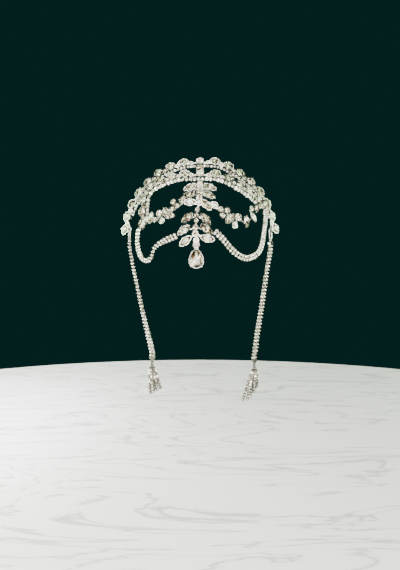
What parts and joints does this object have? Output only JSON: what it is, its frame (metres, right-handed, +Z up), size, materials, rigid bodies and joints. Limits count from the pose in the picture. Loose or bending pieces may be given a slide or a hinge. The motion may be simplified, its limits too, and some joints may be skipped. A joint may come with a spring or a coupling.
{
  "type": "bridal headpiece",
  "caption": "Rhinestone bridal headpiece: two stone arcs over the crown, a leafed spine with a pear drop, draped brow swags, and a tasselled cup-chain at each side.",
  "frame": {"origin": "the crown of the head that the piece is worn on, behind and below the middle of the rear arc", "axes": "+Z up, the wearer's face looks along -Y, +X on the right as the face is seen"},
  "size_m": [0.1904, 0.1073, 0.2951],
  "materials": {
    "silver_metal": "polished silver-coloured plating",
    "crystal": "clear foil-backed cut glass",
    "stone_chain": "small clear stones in silver-coloured cups"
  },
  "bodies": {
    "headpiece": {"back_arc_frame": "silver_metal", "back_arc_stones": "crystal", "back_arc_row": "stone_chain", "front_arc_frame": "silver_metal", "front_arc_stones": "crystal", "front_arc_row": "stone_chain", "crown_link_frame": "silver_metal", "crown_link_stones": "crystal", "spine_frame": "silver_metal", "spine_rounds": "crystal", "leaf_stone_1": "crystal", "leaf_stone_2": "crystal", "leaf_stone_3": "crystal", "leaf_stone_4": "crystal", "leaf_stone_5": "crystal", "leaf_stone_6": "crystal", "leaf_stone_7": "crystal", "leaf_stone_8": "crystal", "leaf_stone_9": "crystal", "leaf_stone_10": "crystal", "leaf_stone_11": "crystal", "leaf_stone_12": "crystal", "drop_yoke": "silver_metal", "middle_swag_left_frame": "silver_metal", "middle_swag_left_stones": "crystal", "middle_swag_right_frame": "silver_metal", "middle_swag_right_stones": "crystal", "lower_swag_left": "stone_chain", "lower_swag_right": "stone_chain", "ring_left": "silver_metal", "ring_right": "silver_metal", "link_left": "silver_metal", "link_right": "silver_metal", "top_cap_left": "silver_metal", "top_cap_right": "silver_metal", "side_chain_left": "stone_chain", "side_chain_right": "stone_chain", "bottom_cap_left": "silver_metal", "bottom_cap_right": "silver_metal", "tassel_link_left": "silver_metal", "tassel_link_right": "silver_metal", "tassel_left": "stone_chain", "tassel_right": "stone_chain"},
    "drop": {"drop_setting": "silver_metal", "drop_stone": "crystal"}
  },
  "joints": [
    {"name": "drop_swing", "type": "hinge", "parent": "headpiece", "child": "drop", "pos_m": [-0.004, -0.101, -0.0815], "axis": [1, 0, 0], "range_deg": [-70, 40]}
  ]
}
